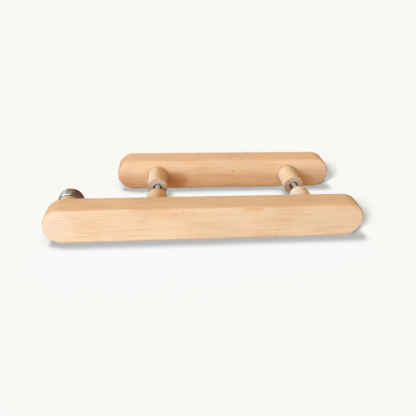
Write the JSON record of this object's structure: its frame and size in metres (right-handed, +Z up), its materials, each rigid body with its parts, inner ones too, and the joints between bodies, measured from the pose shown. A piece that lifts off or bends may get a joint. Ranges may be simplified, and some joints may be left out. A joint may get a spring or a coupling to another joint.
{
  "type": "door pull handle set",
  "caption": "Back-to-back wooden bar handles that clamp through a glass door; the longer bar also carries a magnetic catch on a short post past the door's edge.",
  "frame": {"origin": "centre of the base of the whole set, where both bars stand on their narrow edges", "axes": "+X along the bars away from the magnetic catch, +Y through the door from the long handle to the short one, +Z up across the bars' height"},
  "size_m": [0.402, 0.164, 0.047],
  "materials": {
    "bar_wood": "pale, fine straight grain, sanded and lightly oiled",
    "post_wood": "pale turned wood, grain along the post, sanded",
    "pad_felt": "thin grey-brown fibre pad, matt",
    "brass": "turned, dull",
    "polished_steel": "bright ground steel",
    "zinc_steel": "zinc plated, satin",
    "black_steel": "black oxide, satin",
    "chrome": "bright nickel-chrome plate",
    "ferrite": "dark ceramic ferrite, matt"
  },
  "bodies": {
    "long_handle": {"long_bar": "bar_wood", "long_post_left": "post_wood", "long_post_right": "post_wood", "catch_post": "post_wood", "long_pad_left": "pad_felt", "long_pad_right": "pad_felt", "long_insert_left": "brass", "long_insert_right": "brass", "stud_left": "polished_steel", "stud_right": "polished_steel", "catch_cup": "chrome", "catch_magnet": "ferrite", "catch_screw": "zinc_steel"},
    "short_handle": {"short_bar": "bar_wood", "short_post_left": "post_wood", "short_post_right": "post_wood", "short_pad_left": "pad_felt", "short_pad_right": "pad_felt", "short_socket_left": "zinc_steel", "short_socket_right": "zinc_steel"},
    "set_screw_left": {"set_screw_left": "black_steel"},
    "set_screw_right": {"set_screw_right": "black_steel"},
    "keeper": {"keeper_disc": "chrome"}
  },
  "joints": [
    {"name": "short_handle_slide", "type": "slide", "parent": "long_handle", "child": "short_handle", "axis": [0, 1, 0], "range_m": [-0.02, 0.04]},
    {"name": "keeper_pull", "type": "slide", "parent": "long_handle", "child": "keeper", "axis": [0, 1, 0], "range_m": [0, 0.06]},
    {"name": "set_screw_left_travel", "type": "slide", "parent": "short_handle", "child": "set_screw_left", "axis": [0, 0, -1], "range_m": [0, 0.0016]},
    {"name": "set_screw_right_travel", "type": "slide", "parent": "short_handle", "child": "set_screw_right", "axis": [0, 0, -1], "range_m": [0, 0.0016]}
  ]
}
